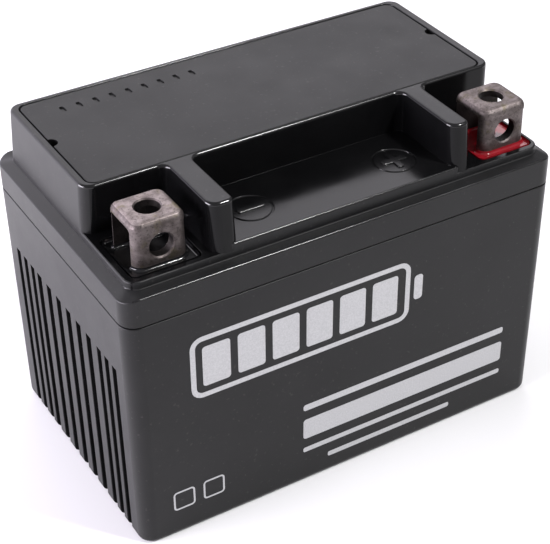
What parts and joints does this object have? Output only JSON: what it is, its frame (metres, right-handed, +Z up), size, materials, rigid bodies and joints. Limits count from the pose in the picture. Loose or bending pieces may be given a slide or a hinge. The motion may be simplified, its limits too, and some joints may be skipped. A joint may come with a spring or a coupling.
{
  "type": "motorcycle battery",
  "caption": "Sealed lead-acid motorcycle battery: black case with grooved ends, stepped cover, flush lift-out cap strip and cast box terminals in the two front corners.",
  "frame": {"origin": "centre of the base, on the surface that the battery stands on", "axes": "+X along the length towards the positive terminal, +Y towards the back, away from the terminals, +Z up"},
  "size_m": [0.113, 0.07, 0.085],
  "materials": {
    "case_plastic": "satin black moulded polypropylene",
    "strip_plastic": "satin black moulded polypropylene",
    "cast_lead": "dull cast lead",
    "black_resin": "glossy poured resin",
    "red_resin": "glossy poured resin",
    "rubber": "matt",
    "positive_plate": "matt dark brown paste",
    "negative_plate": "matt grey paste",
    "glass_mat": "white fibre mat"
  },
  "bodies": {
    "battery": {"container": "case_plastic", "cover": "case_plastic", "terminal_negative": "cast_lead", "resin_seal_negative": "black_resin", "pole_post_negative": "cast_lead", "post_sealing_ring_negative": "rubber", "terminal_positive": "cast_lead", "resin_seal_positive": "red_resin", "pole_post_positive": "cast_lead", "post_sealing_ring_positive": "rubber", "positive_plates_1": "positive_plate", "negative_plates_1": "negative_plate", "separator_1": "glass_mat", "positive_plates_2": "positive_plate", "negative_plates_2": "negative_plate", "separator_2": "glass_mat", "positive_plates_3": "positive_plate", "negative_plates_3": "negative_plate", "separator_3": "glass_mat", "positive_plates_4": "positive_plate", "negative_plates_4": "negative_plate", "separator_4": "glass_mat", "positive_plates_5": "positive_plate", "negative_plates_5": "negative_plate", "separator_5": "glass_mat", "positive_plates_6": "positive_plate", "negative_plates_6": "negative_plate", "separator_6": "glass_mat", "partition_weld_1": "cast_lead", "partition_weld_2": "cast_lead", "partition_weld_3": "cast_lead", "partition_weld_4": "cast_lead", "partition_weld_5": "cast_lead"},
    "cap_strip": {"cap_strip": "strip_plastic", "safety_valve_1": "rubber", "safety_valve_2": "rubber", "safety_valve_3": "rubber", "safety_valve_4": "rubber", "safety_valve_5": "rubber", "safety_valve_6": "rubber"}
  },
  "joints": [
    {"name": "cap_strip_lift", "type": "slide", "parent": "battery", "child": "cap_strip", "axis": [0, 0, 1], "range_m": [0, 0.0175]}
  ]
}
